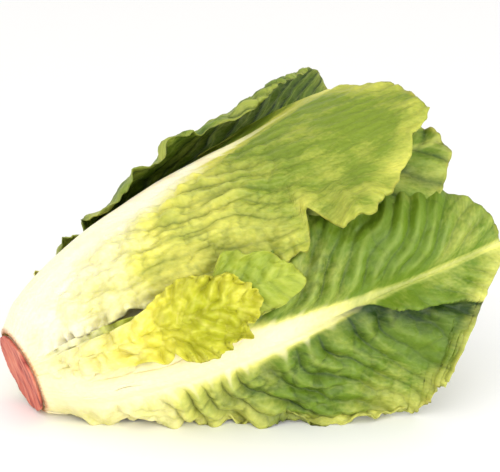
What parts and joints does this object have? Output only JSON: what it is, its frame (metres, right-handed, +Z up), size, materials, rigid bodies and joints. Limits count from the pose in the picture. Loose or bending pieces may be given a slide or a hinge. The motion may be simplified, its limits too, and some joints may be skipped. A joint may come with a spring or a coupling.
{
  "type": "romaine lettuce",
  "caption": "Head of romaine lettuce lying on its side: a cut stem core with long, ribbed, ruffled leaves wrapped round it.",
  "frame": {"origin": "on the table, in the flattened underside of the bottom leaf, under the head's axis 100 mm from the cut", "axes": "+X along the table from the cut stem to the leaf tips, +Z up, -Y towards the near side seen in the picture"},
  "size_m": [0.2557, 0.1723, 0.1666],
  "materials": {
    "stem": "cut stem, browned by air, cream sides",
    "outer_leaf": "satin green blade with a cream midrib and pale veins",
    "pale_leaf": "satin pale green blade",
    "yellow_leaf": "satin yellow blade, crumpled",
    "heart_leaf": "satin pale yellow-green blade"
  },
  "bodies": {
    "root": {"stem_core": "stem", "near_leaf": "outer_leaf", "far_leaf": "outer_leaf", "top_leaf": "outer_leaf", "bottom_leaf": "outer_leaf", "shoulder_leaf": "outer_leaf", "back_leaf": "outer_leaf", "pale_leaf": "pale_leaf", "yellow_leaf": "yellow_leaf", "inner_leaf_01": "heart_leaf", "inner_leaf_02": "heart_leaf", "inner_leaf_03": "heart_leaf", "inner_leaf_04": "heart_leaf", "inner_leaf_05": "heart_leaf", "inner_leaf_06": "heart_leaf", "inner_leaf_07": "heart_leaf", "inner_leaf_08": "heart_leaf", "inner_leaf_09": "heart_leaf", "inner_leaf_10": "heart_leaf", "inner_leaf_11": "heart_leaf", "inner_leaf_12": "heart_leaf", "inner_leaf_13": "heart_leaf", "inner_leaf_14": "heart_leaf", "inner_leaf_15": "heart_leaf"}
  },
  "joints": []
}
